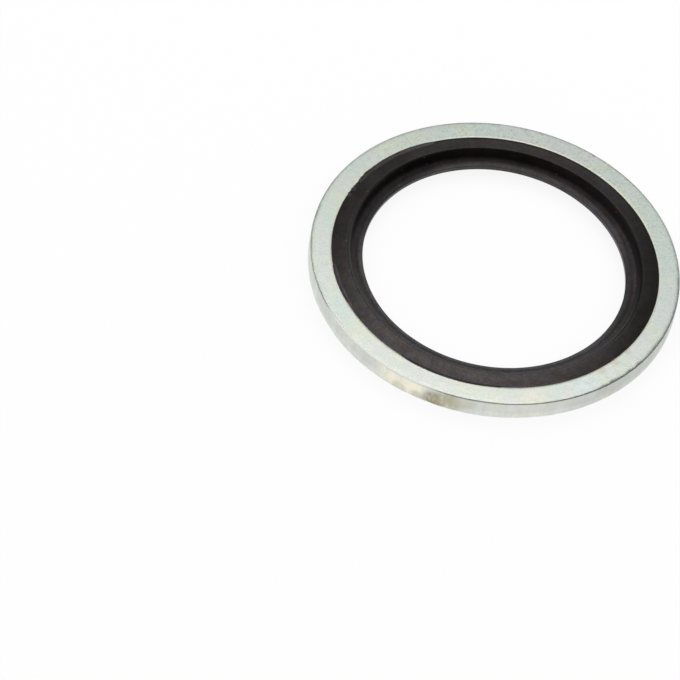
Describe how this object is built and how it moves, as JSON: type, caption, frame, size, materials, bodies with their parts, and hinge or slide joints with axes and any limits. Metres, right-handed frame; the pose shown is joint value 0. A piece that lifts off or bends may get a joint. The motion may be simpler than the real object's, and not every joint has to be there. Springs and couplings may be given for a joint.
{
  "type": "bonded sealing washer",
  "caption": "Flat zinc-plated steel ring with a rubber seal bonded into its bore and a raised sealing lip on each face.",
  "frame": {"origin": "on the washer's axis, at the level of the surface that it lies on, which touches the crest of the lower rubber lip", "axes": "+Z along the washer's axis, up out of the face that it lies with uppermost; +X and +Y are any radial directions, because the washer is round"},
  "size_m": [0.026, 0.026, 0.0017],
  "materials": {
    "zinc_plated_steel": "bright zinc plate, satin, finely mottled",
    "nitrile_rubber": "matt moulded black rubber"
  },
  "bodies": {
    "root": {"steel_ring": "zinc_plated_steel", "rubber_seal": "nitrile_rubber"}
  },
  "joints": []
}
